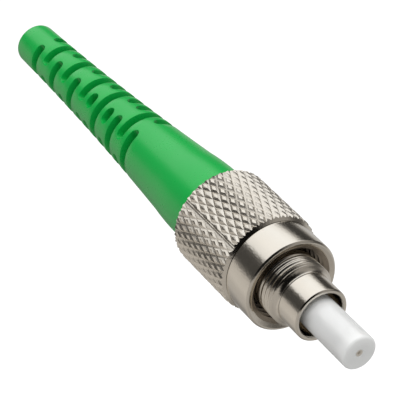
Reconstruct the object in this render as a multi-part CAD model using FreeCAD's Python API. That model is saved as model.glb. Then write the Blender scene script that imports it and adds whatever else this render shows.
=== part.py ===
"""FC angled-contact fibre optic connector plug.

Its coupling nut is drawn back and a protective cap covers the ferrule.

Millimetres. The connector's axis is X and +X is the mating direction; +Z is up.
The origin is the centre of the front face of the plug frame's nose, so all the
rest of the metal lies at negative X and only the ferrule and its cap reach past it.
"""
import FreeCAD
import Part
import math
import os

Vector = FreeCAD.Vector
AXIS = Vector(1, 0, 0)
ORIGIN = Vector(0, 0, 0)

# ---- plug frame: the nose that enters the adaptor, and the barrel the nut rides on
nose_radius = 2.67
nose_bore_radius = 2.21
nose_length = 2.7
nose_edge = 0.12            # chamfers round the nose's rim
nose_bore_depth = 4.6
neck_radius = 1.45          # hole in the wall that stops the ferrule's flange
neck_thickness = 0.9
collar_radius = 3.15        # stops the snap ring, and so the nut, going forward
collar_length = 2.65
collar_edge = 0.15
barrel_radius = 2.9
barrel_length = 6.15
chamber_radius = 2.25       # the ferrule's flange and spring live in here

# ---- key ring, which lets the plug into the adaptor one way round only
key_ring_width = 1.0
key_ring_flare = 0.55
key_ring_wall = 0.22        # left on the nose under the ring
key_width = 2.0
key_height = 0.63
key_edge = 0.16             # chamfer at the key's front
key_setback = 0.9
key_angle = 305.0

# ---- fits
seat_clearance = 0.02       # between pieces pressed, screwed or crimped together
slide_clearance = 0.06      # between the barrel and the snap ring
groove_clearance = 0.06     # between the snap ring and its groove, each side
rear_stop_gap = 0.5         # from the snap ring to the end of the barrel

# ---- snap ring
snap_ring_width = 0.7
snap_ring_radius = 3.75
snap_ring_gap = 1.4

# ---- coupling nut
nut_length = 12.0
nut_collar_radius = 4.66
nut_collar_length = 3.41
undercut_width = 0.34
undercut_radius = 4.45
knurl_radius = 5.02
knurl_edge = 0.1             # chamfer at the nut's back
nut_edge = 0.13
thread_minor_radius = 3.594  # M8 x 0.75
thread_mouth_radius = 4.2
thread_mouth_depth = 0.4
thread_length = 5.38
relief_radius = 4.0
relief_length = 0.5
nut_lip_radius = 3.32
nut_lip_width = 0.6
nut_back_lip_width = 0.36
nut_groove_radius = 3.85
nut_tail_bore_radius = 4.2
mark_groove_width = 0.6      # the straight groove along the knurl
mark_groove_depth = 0.2
mark_groove_angle = 140.4

# ---- rear body, screwed into the frame
stub_length = 1.6
flange_radius = 3.3
flange_thickness = 0.9
flange_flats = 5.9           # across the two spanner flats
crimp_barrel_radius = 2.25
crimp_barrel_length = 7.0
crimp_groove_count = 2
crimp_groove_depth = 0.12
rear_bore_radius = 0.95

# ---- crimp sleeve
sleeve_wall = 0.35
sleeve_setback = 0.2         # behind the rear body's flange
sleeve_overhang = 0.4        # past the end of the crimp barrel
sleeve_cone_length = 1.2
jacket_radius = 1.15         # round the 2 mm cable's jacket, with room to slide in
jacket_grip_length = 4.0
jacket_wall = 0.35

# ---- boot
boot_front_radius = 4.0
boot_front_gap = 0.12        # between the barrel's end and the boot
boot_length = 40.38
boot_wall_clearance = 0.05
boot_cable_radius = 1.05     # plain bore that holds the cable at the tail
boot_relief_radius = 1.25    # bore under the slots, clear of the cable
boot_grip_length = 3.08      # of the plain bore
boot_flare_radius = 3.72     # where the long flare meets the rounded shoulder
boot_flare_setback = 10.4    # from the boot's front to that place
boot_shoulder_length = 4.12
boot_shoulder_share = 0.75   # of the shoulder's rise, gained by its middle
boot_middle_radius = 2.7
boot_middle_reach = 15.0     # from the tail to the place of the middle radius
boot_tail_radius = 2.16
boot_edge = 0.25
boot_socket_edge = 0.3
slot_width = 1.05
slot_tail_inset = 3.88       # from the boot's tail to the middle of the first slot
slot_tail_pitch = 1.96
slot_front_pitch = 1.66
slot_pitch_change = 5        # the row at which the wider pitch ends
mould_angle = 133.7          # the boot's plane of symmetry, round the axis
bridge_half_spread = 34.0    # from that plane to each bridge
bridge_half_angle = 16.0     # half of what each bridge spans
slot_rows = "BABABASLSBAB"   # the kind of each row, from the tail

# ---- ferrule group
ferrule_radius = 1.25
ferrule_length = 10.5
ferrule_reach = 2.0          # past the nose's front face
ferrule_tip_radius = 0.75
ferrule_tip_length = 0.5
ferrule_polish_angle = 8.0
fibre_bore_radius = 0.063
ferrule_flange_radius = 2.1
ferrule_flange_thickness = 1.2
flange_notch_width = 0.8
flange_notch_depth = 0.45
hub_radius = 1.4
hub_length = 3.85
guide_tube_radius = 0.7
guide_tube_bore_radius = 0.45
guide_tube_length = 10.5
guide_tube_insertion = 0.8

# ---- ferrule spring
spring_wire_radius = 0.17
spring_coil_radius = 1.82    # to the middle of the wire
spring_turns = 4.5
spring_wire_sides = 6        # the wire's round section, drawn with flats

# ---- protective cap
cap_radius = 1.706
cap_reach = 5.87             # past the nose's front face
cap_length = 7.4
cap_bore_clearance = 0.02
cap_end_wall = 0.9
cap_tip_edge = 0.2
cap_mouth_edge = 0.15
gate_mark_radius = 0.24
gate_mark_depth = 0.1

# ---- places along the axis, worked out from the sizes above
key_ring_front = -nose_length
key_ring_back = key_ring_front - key_ring_width
collar_back = key_ring_back - collar_length
barrel_back = collar_back - barrel_length
chamber_front = -nose_bore_depth - neck_thickness
snap_ring_back = barrel_back + rear_stop_gap
snap_ring_front = snap_ring_back + snap_ring_width
nut_groove_front = snap_ring_front + groove_clearance
nut_groove_back = snap_ring_back - groove_clearance
thread_back = nut_groove_front + nut_lip_width + relief_length
nut_front = thread_back + thread_length
nut_back = nut_front - nut_length
stub_front = barrel_back + stub_length
flange_back = barrel_back - flange_thickness
crimp_barrel_back = flange_back - crimp_barrel_length
boot_front = barrel_back - boot_front_gap
boot_tail = boot_front - boot_length
sleeve_front = flange_back - sleeve_setback
sleeve_step = crimp_barrel_back - sleeve_overhang
grip_front = sleeve_step - sleeve_cone_length
grip_back = grip_front - jacket_grip_length
ferrule_front = ferrule_reach
ferrule_back = ferrule_front - ferrule_length
ferrule_flange_front = chamber_front - seat_clearance
ferrule_flange_back = ferrule_flange_front - ferrule_flange_thickness
hub_back = ferrule_flange_front - hub_length


def point(x, radius):
    """A point of a turned outline: its place along the axis and its distance from it."""
    return Vector(x, 0, radius)


def turned_edges(edges):
    """The solid that a closed outline of edges sweeps round the axis."""
    face = Part.Face(Part.Wire(edges))
    return face.revolve(ORIGIN, AXIS, 360)


def turned(outline):
    """The solid that a closed outline of (x, radius) corners sweeps round the axis."""
    corners = [point(x, radius) for x, radius in outline]
    return turned_edges(Part.makePolygon(corners + corners[:1]).Edges)


def bore(x_front, x_back, radius):
    return Part.makeCylinder(radius, x_front - x_back, Vector(x_back, 0, 0), AXIS)


def at_angle(shape, degrees):
    """The shape turned about the axis, from the +Y side towards +Z."""
    return shape.rotated(ORIGIN, AXIS, degrees)


def make_plug_frame():
    seat_radius = nose_radius - key_ring_wall
    outline = [
        (-nose_edge, nose_bore_radius), (0, nose_bore_radius + nose_edge),
        (0, nose_radius - nose_edge), (-nose_edge, nose_radius),
        (key_ring_front, nose_radius), (key_ring_front, seat_radius),
        (key_ring_back, seat_radius), (key_ring_back, collar_radius),
        (collar_back + collar_edge, collar_radius),
        (collar_back, collar_radius - collar_edge),
        (collar_back, barrel_radius), (barrel_back, barrel_radius),
        (barrel_back, chamber_radius), (chamber_front, chamber_radius),
        (chamber_front, neck_radius), (-nose_bore_depth, neck_radius),
        (-nose_bore_depth, nose_bore_radius),
    ]
    return turned(outline)


def make_key_ring():
    """A ring let into the foot of the nose, with one key that runs forward along the nose."""
    inner = nose_radius - key_ring_wall + seat_clearance
    front = key_ring_front - seat_clearance
    back = key_ring_back + seat_clearance
    ring = turned([
        (back, inner), (back, collar_radius), (front - key_ring_flare, collar_radius),
        (front, nose_radius), (front, inner),
    ])
    key_front = -key_setback
    key_back = back + key_ring_flare / 2
    height = nose_radius + key_height
    key = Part.makeBox(key_front - key_back, height, key_width,
                       Vector(key_back, 0, -key_width / 2))
    key = key.common(bore(key_front, key_back, height))
    key = key.cut(bore(key_front, key_back, nose_radius + seat_clearance))
    end_edges = [edge for edge in key.Edges
                 if edge.BoundBox.XMin > key_front - seat_clearance
                 and edge.BoundBox.YMin > nose_radius + key_height / 2]
    key = key.makeChamfer(key_edge, end_edges)
    return ring.fuse(at_angle(key, key_angle)).removeSplitter()


def make_snap_ring():
    inner = barrel_radius + slide_clearance
    ring = bore(snap_ring_front, snap_ring_back, snap_ring_radius)
    ring = ring.cut(bore(snap_ring_front, snap_ring_back, inner))
    gap = Part.makeBox(snap_ring_width, snap_ring_gap, snap_ring_radius,
                       Vector(snap_ring_back, -snap_ring_gap / 2, 0))
    return ring.cut(gap)


def make_coupling_nut():
    collar_end = nut_front - nut_collar_length
    knurl_front = collar_end - undercut_width
    outline = [
        (nut_front, thread_mouth_radius), (nut_front, nut_collar_radius - nut_edge),
        (nut_front - nut_edge, nut_collar_radius), (collar_end, nut_collar_radius),
        (collar_end, undercut_radius), (knurl_front, undercut_radius),
        (knurl_front, knurl_radius), (nut_back + knurl_edge, knurl_radius),
        (nut_back, knurl_radius - knurl_edge),
        (nut_back, nut_tail_bore_radius),
        (nut_groove_back - nut_back_lip_width, nut_tail_bore_radius),
        (nut_groove_back - nut_back_lip_width, nut_lip_radius),
        (nut_groove_back, nut_lip_radius), (nut_groove_back, nut_groove_radius),
        (nut_groove_front, nut_groove_radius), (nut_groove_front, nut_lip_radius),
        (nut_groove_front + nut_lip_width, nut_lip_radius),
        (nut_groove_front + nut_lip_width, relief_radius), (thread_back, relief_radius),
        (thread_back, thread_minor_radius),
        (nut_front - thread_mouth_depth, thread_minor_radius),
    ]
    nut = turned(outline)
    mark = Part.makeBox(nut_length, mark_groove_depth * 2, mark_groove_width,
                        Vector(knurl_front - nut_length, knurl_radius - mark_groove_depth,
                               -mark_groove_width / 2))
    return nut.cut(at_angle(mark, mark_groove_angle))


def make_rear_body():
    """Stub that screws into the frame, flange with spanner flats, and grooved crimp barrel."""
    groove_pitch = crimp_barrel_length / (crimp_groove_count + 1)
    groove_floor = crimp_barrel_radius - crimp_groove_depth
    outline = [
        (stub_front, rear_bore_radius), (stub_front, chamber_radius - seat_clearance),
        (barrel_back - seat_clearance, chamber_radius - seat_clearance),
        (barrel_back - seat_clearance, flange_radius), (flange_back, flange_radius),
        (flange_back, crimp_barrel_radius),
    ]
    for number in range(crimp_groove_count):
        groove = flange_back - groove_pitch * (number + 1)
        outline += [(groove + crimp_groove_depth, crimp_barrel_radius), (groove, groove_floor),
                    (groove - crimp_groove_depth, crimp_barrel_radius)]
    outline += [
        (crimp_barrel_back + crimp_groove_depth, crimp_barrel_radius),
        (crimp_barrel_back, groove_floor), (crimp_barrel_back, rear_bore_radius),
    ]
    body = turned(outline)
    reach = flange_radius * 2
    for side in (1, -1):
        flat = Part.makeBox(flange_thickness, reach, reach,
                            Vector(flange_back, -flange_radius, flange_flats / 2))
        if side < 0:
            flat = flat.mirror(ORIGIN, Vector(0, 0, 1))
        body = body.cut(flat)
    return body


def make_crimp_sleeve():
    wide = crimp_barrel_radius + seat_clearance
    return turned([
        (sleeve_front, wide), (sleeve_front, wide + sleeve_wall),
        (sleeve_step, wide + sleeve_wall), (grip_front, jacket_radius + jacket_wall),
        (grip_back, jacket_radius + jacket_wall), (grip_back, jacket_radius),
        (grip_front, jacket_radius), (sleeve_step, wide),
    ])


def circle_through(first, middle, last):
    """Centre (x, radius) and radius of the circle through three outline points."""
    curve = Part.Arc(point(*first), point(*middle), point(*last)).toShape().Curve
    return curve.Center.x, curve.Center.z, curve.Radius


def boot_flare():
    """The three points of the boot's long concave flare, from its tail."""
    tail = (boot_tail, boot_tail_radius)
    middle = (boot_tail + boot_middle_reach, boot_middle_radius)
    end = (boot_front - boot_flare_setback, boot_flare_radius)
    return tail, middle, end


def boot_radius_at(x):
    centre_x, centre_r, radius = circle_through(*boot_flare())
    return centre_r - math.sqrt(radius ** 2 - (x - centre_x) ** 2)


def make_boot_body():
    """The boot without its slots: round front, rounded shoulder and long slim flare."""
    end = boot_flare()[-1]
    shoulder = (end[0] + boot_shoulder_length, boot_front_radius)
    rise = (boot_front_radius - boot_flare_radius) * boot_shoulder_share
    shoulder_middle = (end[0] + boot_shoulder_length / 2, boot_flare_radius + rise)
    sleeve_radius = crimp_barrel_radius + seat_clearance + sleeve_wall
    socket = flange_radius + boot_wall_clearance
    tunnel = sleeve_radius + boot_wall_clearance
    grip = jacket_radius + jacket_wall + boot_wall_clearance
    socket_back = flange_back - seat_clearance
    step = sleeve_step - seat_clearance
    grip_end = grip_back - seat_clearance
    tail_round = boot_tail + boot_edge
    outer_tail = boot_radius_at(tail_round)
    relief_back = boot_tail + boot_grip_length
    corners = [
        (boot_tail, outer_tail - boot_edge), (boot_tail, boot_cable_radius),
        (relief_back, boot_cable_radius), (relief_back, boot_relief_radius),
        (grip_end, boot_relief_radius), (grip_end, grip), (grip_front - seat_clearance, grip),
        (step, tunnel), (socket_back, tunnel), (socket_back, socket),
        (boot_front - boot_socket_edge, socket), (boot_front, socket + boot_socket_edge),
        (boot_front, boot_front_radius - boot_edge), (boot_front - boot_edge, boot_front_radius),
        shoulder,
    ]
    edges = [Part.LineSegment(point(*a), point(*b)).toShape()
             for a, b in zip(corners, corners[1:])]
    edges.append(Part.Arc(point(*shoulder), point(*shoulder_middle), point(*end)).toShape())
    plain_back = slot_row_places()[-1] + slot_front_pitch
    for front, back in ((end[0], plain_back), (plain_back, tail_round)):
        halfway = (front + back) / 2
        places = [point(x, boot_radius_at(x)) for x in (front, halfway, back)]
        edges.append(Part.Arc(*places).toShape())
    edges.append(Part.LineSegment(point(tail_round, outer_tail), point(*corners[0])).toShape())
    return turned_edges(edges)


def arc_slot(x_middle, first_angle, last_angle):
    """A slot right through the boot's wall, round part of the axis."""
    front, back = x_middle + slot_width / 2, x_middle - slot_width / 2
    inner = boot_cable_radius / 2
    outer = boot_front_radius
    section = Part.makePolygon([
        Vector(back, inner, 0), Vector(front, inner, 0), Vector(front, outer, 0),
        Vector(back, outer, 0), Vector(back, inner, 0),
    ])
    sector = Part.Face(section).revolve(ORIGIN, AXIS, last_angle - first_angle)
    return at_angle(sector, first_angle)


def slot_row_places():
    """The middle of each row of slots, from the tail."""
    place = boot_tail + slot_tail_inset
    places = []
    for number in range(len(slot_rows)):
        places.append(place)
        place += slot_tail_pitch if number < slot_pitch_change else slot_front_pitch
    return places


def make_boot():
    """Two bridges are left in each row: across one diagonal, the other, the front or the back."""
    bridges = {
        "A": (bridge_half_spread, bridge_half_spread + 180),
        "B": (-bridge_half_spread, 180 - bridge_half_spread),
        "S": (-bridge_half_spread, bridge_half_spread),
        "L": (180 - bridge_half_spread, 180 + bridge_half_spread),
    }
    slots = []
    for place, kind in zip(slot_row_places(), slot_rows):
        first, second = (mould_angle + angle for angle in bridges[kind])
        slots.append(arc_slot(place, first + bridge_half_angle, second - bridge_half_angle))
        slots.append(arc_slot(place, second + bridge_half_angle,
                              first + 360 - bridge_half_angle))
    return make_boot_body().cut(slots)


def make_ferrule():
    outline = [
        (ferrule_front, 0), (ferrule_front, ferrule_tip_radius),
        (ferrule_front - ferrule_tip_length, ferrule_radius),
        (ferrule_back + ferrule_tip_length / 2, ferrule_radius),
        (ferrule_back, ferrule_radius - ferrule_tip_length / 2), (ferrule_back, 0),
    ]
    ferrule = turned(outline)
    side = ferrule_radius * 4
    polish = Part.makeBox(side, side, side, Vector(ferrule_front, -side / 2, -side / 2))
    polish.rotate(Vector(ferrule_front, 0, 0), Vector(0, 1, 0), ferrule_polish_angle)
    ferrule = ferrule.cut(polish)
    return ferrule.cut(bore(ferrule_front, ferrule_back, fibre_bore_radius))


def make_ferrule_flange():
    """Disc that the spring pushes against the frame's neck, and hub that holds the ferrule."""
    socket = ferrule_radius + seat_clearance / 2
    tube_socket = guide_tube_radius + seat_clearance / 2
    flange = turned([
        (ferrule_flange_front, socket), (ferrule_flange_front, ferrule_flange_radius),
        (ferrule_flange_back, ferrule_flange_radius), (ferrule_flange_back, hub_radius),
        (hub_back, hub_radius), (hub_back, tube_socket),
        (ferrule_back - seat_clearance, tube_socket), (ferrule_back - seat_clearance, socket),
    ])
    notch = Part.makeBox(ferrule_flange_thickness, ferrule_flange_radius, flange_notch_width,
                         Vector(ferrule_flange_back, ferrule_flange_radius - flange_notch_depth,
                                -flange_notch_width / 2))
    return flange.cut([at_angle(notch, quarter * 90) for quarter in range(4)])


def make_guide_tube():
    front = hub_back + guide_tube_insertion
    tube = bore(front, front - guide_tube_length, guide_tube_radius)
    return tube.cut(bore(front, front - guide_tube_length, guide_tube_bore_radius))


def make_ferrule_spring():
    """Coil between the ferrule's flange and the rear body's stub, a hair clear of both."""
    room = ferrule_flange_back - stub_front - 2 * (spring_wire_radius + seat_clearance)
    helix = Part.makeHelix(room / spring_turns, room, spring_coil_radius)
    corners = []
    for number in range(spring_wire_sides + 1):
        turn = 2 * math.pi * number / spring_wire_sides
        corners.append(Vector(spring_coil_radius + spring_wire_radius * math.cos(turn), 0,
                              spring_wire_radius * math.sin(turn)))
    section = Part.makePolygon(corners)
    coil = Part.Wire(helix).makePipeShell([section], True, True)
    coil.rotate(ORIGIN, Vector(0, 1, 0), 90)
    coil.translate(Vector(stub_front + spring_wire_radius + seat_clearance, 0, 0))
    return coil


def make_protective_cap():
    inside = ferrule_radius + cap_bore_clearance
    mouth = cap_reach - cap_length
    bottom = cap_reach - cap_end_wall
    return turned([
        (cap_reach - cap_tip_edge, cap_radius), (mouth, cap_radius),
        (mouth, inside + cap_mouth_edge), (mouth + cap_mouth_edge, inside),
        (bottom, inside), (bottom, 0), (cap_reach - gate_mark_depth, 0),
        (cap_reach, gate_mark_radius), (cap_reach, cap_radius - cap_tip_edge),
    ])


PIECES = {
    "plug_frame": make_plug_frame,
    "key_ring": make_key_ring,
    "snap_ring": make_snap_ring,
    "coupling_nut": make_coupling_nut,
    "rear_body": make_rear_body,
    "crimp_sleeve": make_crimp_sleeve,
    "boot": make_boot,
    "ferrule": make_ferrule,
    "ferrule_flange": make_ferrule_flange,
    "guide_tube": make_guide_tube,
    "ferrule_spring": make_ferrule_spring,
    "protective_cap": make_protective_cap,
}


def main():
    os.makedirs("parts", exist_ok=True)
    for name, make in PIECES.items():
        shape = make()
        shape.exportStep("parts/" + name + ".step")
        box = shape.BoundBox
        print("%-16s solids %d valid %s volume %8.3f x %.2f..%.2f" % (
            name, len(shape.Solids), shape.isValid(), shape.Volume, box.XMin, box.XMax))


main()
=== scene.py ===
"""Fibre connector plug: knurled coupling nut, keyed nose, slotted boot and ferrule cap.

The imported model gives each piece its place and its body. Pieces are modelled in
millimetres and brought to metres as they are finished. Each one is first drawn as an
outline of (x, r) corners, where x runs along the connector's axis and r is the
distance from it, and is then spun or wrapped round that axis.
"""
import math

import bmesh
import bpy
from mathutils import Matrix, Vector


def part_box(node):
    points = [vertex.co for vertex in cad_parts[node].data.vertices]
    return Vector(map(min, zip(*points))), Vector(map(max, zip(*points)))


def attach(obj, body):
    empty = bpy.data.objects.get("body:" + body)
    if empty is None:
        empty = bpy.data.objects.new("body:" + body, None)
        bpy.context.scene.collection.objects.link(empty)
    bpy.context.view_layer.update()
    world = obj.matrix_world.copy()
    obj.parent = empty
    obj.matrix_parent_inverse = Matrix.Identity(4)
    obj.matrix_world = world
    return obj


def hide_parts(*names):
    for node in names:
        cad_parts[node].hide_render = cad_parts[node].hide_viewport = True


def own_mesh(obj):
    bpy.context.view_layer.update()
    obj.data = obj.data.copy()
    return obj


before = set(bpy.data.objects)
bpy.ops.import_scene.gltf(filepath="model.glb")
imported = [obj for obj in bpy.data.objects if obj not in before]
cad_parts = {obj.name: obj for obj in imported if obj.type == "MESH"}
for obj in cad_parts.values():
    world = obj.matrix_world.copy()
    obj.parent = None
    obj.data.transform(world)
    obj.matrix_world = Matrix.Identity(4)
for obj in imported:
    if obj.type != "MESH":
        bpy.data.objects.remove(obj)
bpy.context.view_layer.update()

bl_info = {
    "name": "Fibre connector plug",
    "version": (1, 0, 0),
    "blender": (4, 5, 0),
    "location": "View3D > Sidebar > Connector",
    "description": "Models a fibre connector plug piece by piece round its packed solids",
    "category": "Add Mesh",
}

MM = 1000.0            # millimetres in a metre
MERGE = 0.0004         # corners nearer than this, in millimetres, are one
AXIS = (1, 0, 0)
CENTRE = (0, 0, 0)


def span(node):
    """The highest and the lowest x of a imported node, in millimetres."""
    low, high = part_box(node)
    return high.x * MM, low.x * MM


NUT_FRONT, NUT_BACK = span("coupling_nut")
BOOT_FRONT, BOOT_TAIL = span("boot")
BARREL_BACK = span("plug_frame")[1]
RING_FRONT, RING_BACK = span("snap_ring")
KEY_FRONT, KEY_RING_BACK = span("key_ring")
CAP_TIP, CAP_MOUTH = span("protective_cap")
FERRULE_FRONT, FERRULE_BACK = span("ferrule")
SPRING_FRONT, SPRING_BACK = span("ferrule_spring")


# ---- settings

def amount(label, text, default, **options):
    return bpy.props.FloatProperty(name=label, description=text, default=default, **options)


def length(label, text, default):
    return amount(label, text, default, unit="LENGTH", precision=5, min=0.0)


def turn(label, text, degrees):
    return amount(label, text, math.radians(degrees), subtype="ANGLE")


def share(label, text, default):
    return amount(label, text, default, subtype="FACTOR", min=0.0, max=1.0)


def colour(label, text, default):
    return bpy.props.FloatVectorProperty(name=label, description=text, default=default,
                                         subtype="COLOR", size=3, min=0.0, max=1.0)


def whole(label, text, default):
    return bpy.props.IntProperty(name=label, description=text, default=default, min=1)


class BootSettings(bpy.types.PropertyGroup):
    """Sizes and colours of the slotted boot."""
    front_radius: length("Front radius", "Radius of the boot's round front", 0.004)
    flare_radius: length("Flare radius", "Radius where the flare meets the shoulder", 0.00372)
    middle_radius: length("Middle radius", "Radius a third of the way up the flare", 0.0027)
    tail_radius: length("Tail radius", "Radius at the boot's tail", 0.00216)
    bore_radius: length("Bore", "Radius of the bore under the slots", 0.00125)
    cable_radius: length("Cable bore", "Radius of the bore at the tail", 0.00105)
    slot_width: length("Slot width", "Width of each slot along the boot", 0.00105)
    slot_edge: length("Slot edge", "Rounding of the slots' rims", 0.00007)
    mould_angle: turn("Mould angle", "The boot's plane of symmetry, round the axis", 133.7)
    lean: length("Lean", "How far the tail leans from the axis", 0.00073)
    lean_length: length("Lean length", "Length over which the boot leans", 0.036)
    lean_angle: turn("Lean angle", "Where the tail leans to, round the axis", 215.0)
    green: colour("Green", "Colour of the moulded boot", (0.003, 0.445, 0.067))
    deep_green: colour("Deep green", "Colour of its darker patches", (0.002, 0.395, 0.062))
    roughness: share("Roughness", "Roughness of the moulded skin", 0.29)


class NutSettings(bpy.types.PropertyGroup):
    """Sizes of the coupling nut."""
    collar_radius: length("Collar radius", "Radius of the smooth collar", 0.00466)
    collar_length: length("Collar length", "Length of the smooth collar", 0.00341)
    undercut_radius: length("Undercut radius", "Radius of the groove before the knurl", 0.00445)
    undercut_width: length("Undercut width", "Width of the groove before the knurl", 0.0001)
    knurl_radius: length("Knurl radius", "Radius over the knurl", 0.00502)
    knurl_depth: length("Knurl depth", "Depth of the knurl's grooves", 0.00017)
    knurl_floor: length("Knurl floor", "Half the width of the floor of a knurl groove", 0.00005)
    knurl_flank: length("Knurl flank", "Width of the flank of a knurl groove", 0.00016)
    knurl_pitch: length("Knurl pitch", "Length of one diamond along the axis", 0.00177)
    knurl_count: whole("Knurl count", "Diamonds round the nut", 40)
    thread_radius: length("Thread radius", "Radius at the thread's roots", 0.004)
    thread_crest: length("Thread crest", "Radius at the thread's crests", 0.003594)
    thread_pitch: length("Thread pitch", "Pitch of the inside thread", 0.00075)
    mark_width: length("Mark width", "Width of the straight groove in the knurl", 0.0006)
    mark_depth: length("Mark depth", "Depth of the straight groove in the knurl", 0.0002)
    mark_angle: turn("Mark angle", "Place of the straight groove round the axis", 140.4)


class NoseSettings(bpy.types.PropertyGroup):
    """Sizes of the plug frame and its key ring."""
    nose_radius: length("Nose radius", "Outer radius of the nose", 0.00267)
    nose_bore: length("Nose bore", "Radius of the bore round the ferrule", 0.00221)
    collar_radius: length("Collar radius", "Radius of the ringed collar", 0.00315)
    barrel_radius: length("Barrel radius", "Radius of the barrel under the nut", 0.0029)
    ring_depth: length("Ring depth", "Depth of the collar's ring grooves", 0.00015)
    ring_pitch: length("Ring pitch", "Pitch of the collar's ring grooves", 0.0005)
    key_width: length("Key width", "Width of the key", 0.002)
    key_height: length("Key height", "Height of the key over the nose", 0.00063)
    key_angle: turn("Key angle", "Place of the key round the axis", 305.0)


class MetalSettings(bpy.types.PropertyGroup):
    """Colours of the metal pieces."""
    nickel: colour("Nickel", "Colour of the nickel plate", (0.77, 0.725, 0.65))
    nickel_shade: colour("Nickel shade", "Colour of the plate's duller patches",
                         (0.70, 0.655, 0.58))
    # Painted shade: the inside colour is darker and browner than the plate, standing in for the
    # shade inside the nut.
    inside: colour("Inside", "Colour of the nut's shade_painted inside", (0.42, 0.37, 0.31))
    steel: colour("Spring steel", "Colour of the spring wire", (0.55, 0.54, 0.52))
    crimp: colour("Crimp metal", "Colour of the crimp pieces", (0.66, 0.60, 0.50))
    roughness: share("Roughness", "Roughness of the nickel plate", 0.13)


class FerruleSettings(bpy.types.PropertyGroup):
    """Sizes and colours of the ferrule, its spring and its cap."""
    ferrule_radius: length("Ferrule radius", "Radius of the ferrule", 0.00125)
    wire_radius: length("Wire radius", "Radius of the spring's wire", 0.00017)
    coil_radius: length("Coil radius", "Radius of the spring's coils", 0.00182)
    coils: amount("Coils", "Turns of the spring", 4.5, min=1.0)
    cap_radius: length("Cap radius", "Outer radius of the cap", 0.001706)
    cap_round: length("Cap rounding", "Rounding of the cap's tip", 0.00026)
    zirconia: colour("Zirconia", "Colour of the ferrule", (0.90, 0.89, 0.86))
    cap_white: colour("Cap white", "Colour of the cap", (0.87, 0.88, 0.865))


class StageSettings(bpy.types.PropertyGroup):
    """The floor, the lights and the camera."""
    floor_drop: length("Floor drop", "How far the floor lies under the axis", 0.3)
    tent_radius: length("Tent radius", "Radius of the cloth tent seen in reflections", 0.25)
    fill: amount("Fill", "Strength of the light from all round", 0.55, min=0.0)
    lamp_watts: amount("Lamp", "Power of the soft lamp overhead", 1.8, min=0.0, unit="POWER")
    lens: amount("Lens", "The camera's focal length", 190.7, min=1.0,
                 subtype="DISTANCE_CAMERA")


# ---- modelling helpers

def mm(size):
    return size * MM


def edit():
    bpy.ops.object.mode_set(mode="EDIT")


def leave_edit():
    if bpy.context.mode != "OBJECT":
        bpy.ops.object.mode_set(mode="OBJECT")


def clear():
    """Leaves edit mode and selects nothing, ready for a new piece."""
    leave_edit()
    bpy.ops.object.select_all(action="DESELECT")


def only(piece):
    """Makes the piece the one selected object."""
    clear()
    piece.select_set(True)
    bpy.context.view_layer.objects.active = piece


def named(name):
    """Names the object just added."""
    piece = bpy.context.object
    piece.name = piece.data.name = name
    return piece


def settle():
    """Takes the selected object's place, turn and size into its mesh."""
    bpy.ops.object.transform_apply(location=True, rotation=True, scale=True)


def select_whole():
    bpy.ops.mesh.select_all(action="SELECT")


def pick(piece, kind, test):
    """Selects the piece's verts, edges or faces that pass the test, in edit mode."""
    bpy.ops.mesh.select_mode(type={"verts": "VERT", "edges": "EDGE", "faces": "FACE"}[kind])
    bpy.ops.mesh.select_all(action="DESELECT")
    shape = bmesh.from_edit_mesh(piece.data)
    chosen = [part for part in getattr(shape, kind) if test(part)]
    for part in chosen:
        part.select_set(True)
    shape.select_flush_mode()
    bmesh.update_edit_mesh(piece.data)
    return len(chosen)


def middle(part):
    """The middle of an edge or a face."""
    return sum((vert.co for vert in part.verts), Vector()) / len(part.verts)


def paint(piece, number, test):
    """Gives the faces that pass the test the piece's finish of that number."""
    for face in bmesh.from_edit_mesh(piece.data).faces:
        if test(face):
            face.material_index = number


def reach_of(part):
    """How far from the axis the middle of an edge or a face lies."""
    place = middle(part)
    return math.hypot(place.y, place.z)


def arc(x, r, reach, angles):
    """Corners round the centre (x, r), by degrees from outwards towards the front."""
    return [(x + reach * math.sin(math.radians(angle)), r + reach * math.cos(math.radians(angle)))
            for angle in angles]


def draw_outline(name, corners, closed=True):
    """A new piece in edit mode: a plane merged to a point and extruded along the corners."""
    clear()
    bpy.ops.mesh.primitive_plane_add(size=1, location=CENTRE)
    piece = named(name)
    edit()
    bpy.ops.mesh.select_mode(type="VERT")
    select_whole()
    bpy.ops.mesh.merge(type="CENTER")
    places = [Vector((x, 0, r)) for x, r in corners]
    bpy.ops.transform.translate(value=places[0])
    for here, there in zip(places, places[1:]):
        bpy.ops.mesh.extrude_region_move(TRANSFORM_OT_translate={"value": there - here})
    if closed:
        ends = (places[0], places[-1])
        pick(piece, "verts", lambda v: min((v.co - end).length for end in ends) < MERGE)
        bpy.ops.mesh.edge_face_add()
    return piece


def tidy_surface():
    """Merges doubled corners and turns all faces outwards."""
    select_whole()
    bpy.ops.mesh.remove_doubles(threshold=MERGE)
    bpy.ops.mesh.normals_make_consistent(inside=False)


def spin_piece(name, corners, steps=96, closed=True):
    """A piece turned from its outline, in edit mode."""
    piece = draw_outline(name, corners, closed)
    select_whole()
    bpy.ops.mesh.spin(steps=steps, angle=math.tau, center=CENTRE, axis=AXIS)
    tidy_surface()
    return piece


def rounded(corners, roundings, segments=3):
    """The outline with the numbered corners rounded by arcs that leave each edge at that reach."""
    made = []
    total = len(corners)
    for number, corner in enumerate(corners):
        reach = roundings.get(number, 0)
        if not reach:
            made.append(corner)
            continue
        here = Vector(corner)
        back = (Vector(corners[number - 1]) - here).normalized() * reach + here
        on = (Vector(corners[(number + 1) % total]) - here).normalized() * reach + here
        for step in range(segments + 1):
            t = step / segments
            place = back * (1 - t) ** 2 + here * 2 * t * (1 - t) + on * t ** 2
            made.append(tuple(place))
    return made


def apply_modifier(piece, kind, **values):
    """Adds a modifier with these values and applies it."""
    only(piece)
    modifier = piece.modifiers.new(kind.title(), kind)
    for key, value in values.items():
        setattr(modifier, key, value)
    bpy.ops.object.modifier_apply(modifier=modifier.name)


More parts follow.
